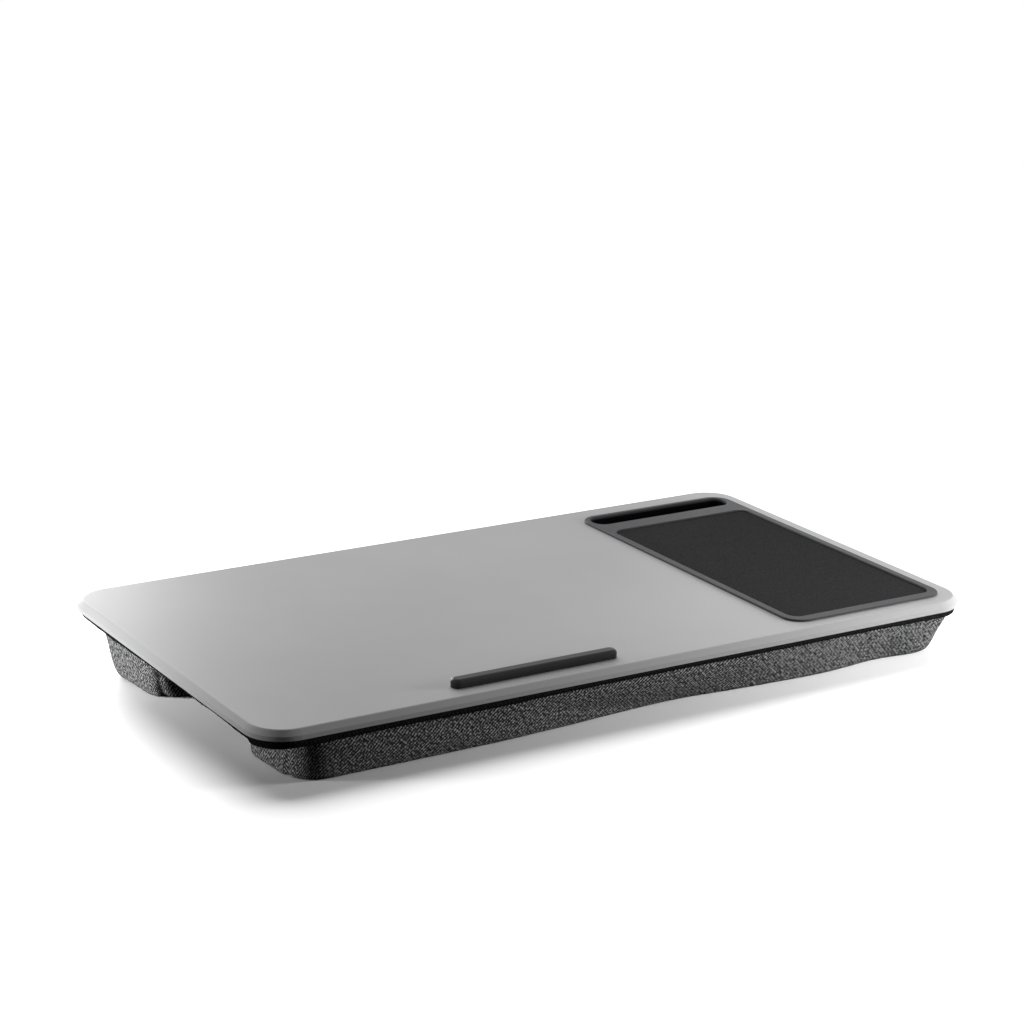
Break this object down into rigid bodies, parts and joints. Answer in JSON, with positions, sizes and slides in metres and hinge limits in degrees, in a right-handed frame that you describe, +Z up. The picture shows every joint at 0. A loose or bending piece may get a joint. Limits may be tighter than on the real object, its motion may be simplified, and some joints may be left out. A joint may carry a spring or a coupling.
{
  "type": "lap tray with cushion",
  "caption": "Flat lap board with a let-in pad and device slot, a stop ledge near its front edge, and stuffed bolster cushions under it that rest on the legs.",
  "frame": {"origin": "on the floor under the middle of the tray, in metres", "axes": "+X along the board to the user's right, +Y to the rear edge, away from the user, +Z up"},
  "size_m": [0.536, 0.3046, 0.0575],
  "materials": {
    "fibre_core": "raw wood-fibre board",
    "grey_film": "matte light grey film",
    "hardboard": "raw hardboard",
    "black_cloth": "black woven backing cloth",
    "dark_plastic": "fine-grained dark grey moulding",
    "foam_rubber": "matte foam rubber",
    "pad_cloth": "fine black knitted cloth",
    "black_plastic": "satin black",
    "screw_steel": "plain zinc-plated steel",
    "grey_melange": "grey melange twill with light flecks",
    "fibre_fill": "white polyester fibre"
  },
  "bodies": {
    "root": {"board_core": "fibre_core", "board_film": "grey_film", "base_board": "hardboard", "base_cloth": "black_cloth", "insert_tray": "dark_plastic", "mouse_pad_foam": "foam_rubber", "mouse_pad_cloth": "pad_cloth", "device_ledge": "black_plastic", "tray_screws": "screw_steel", "ledge_screws": "screw_steel", "front_bolster_cover": "grey_melange", "front_bolster_fill": "fibre_fill", "rear_bolster_cover": "grey_melange", "rear_bolster_fill": "fibre_fill"}
  },
  "joints": []
}
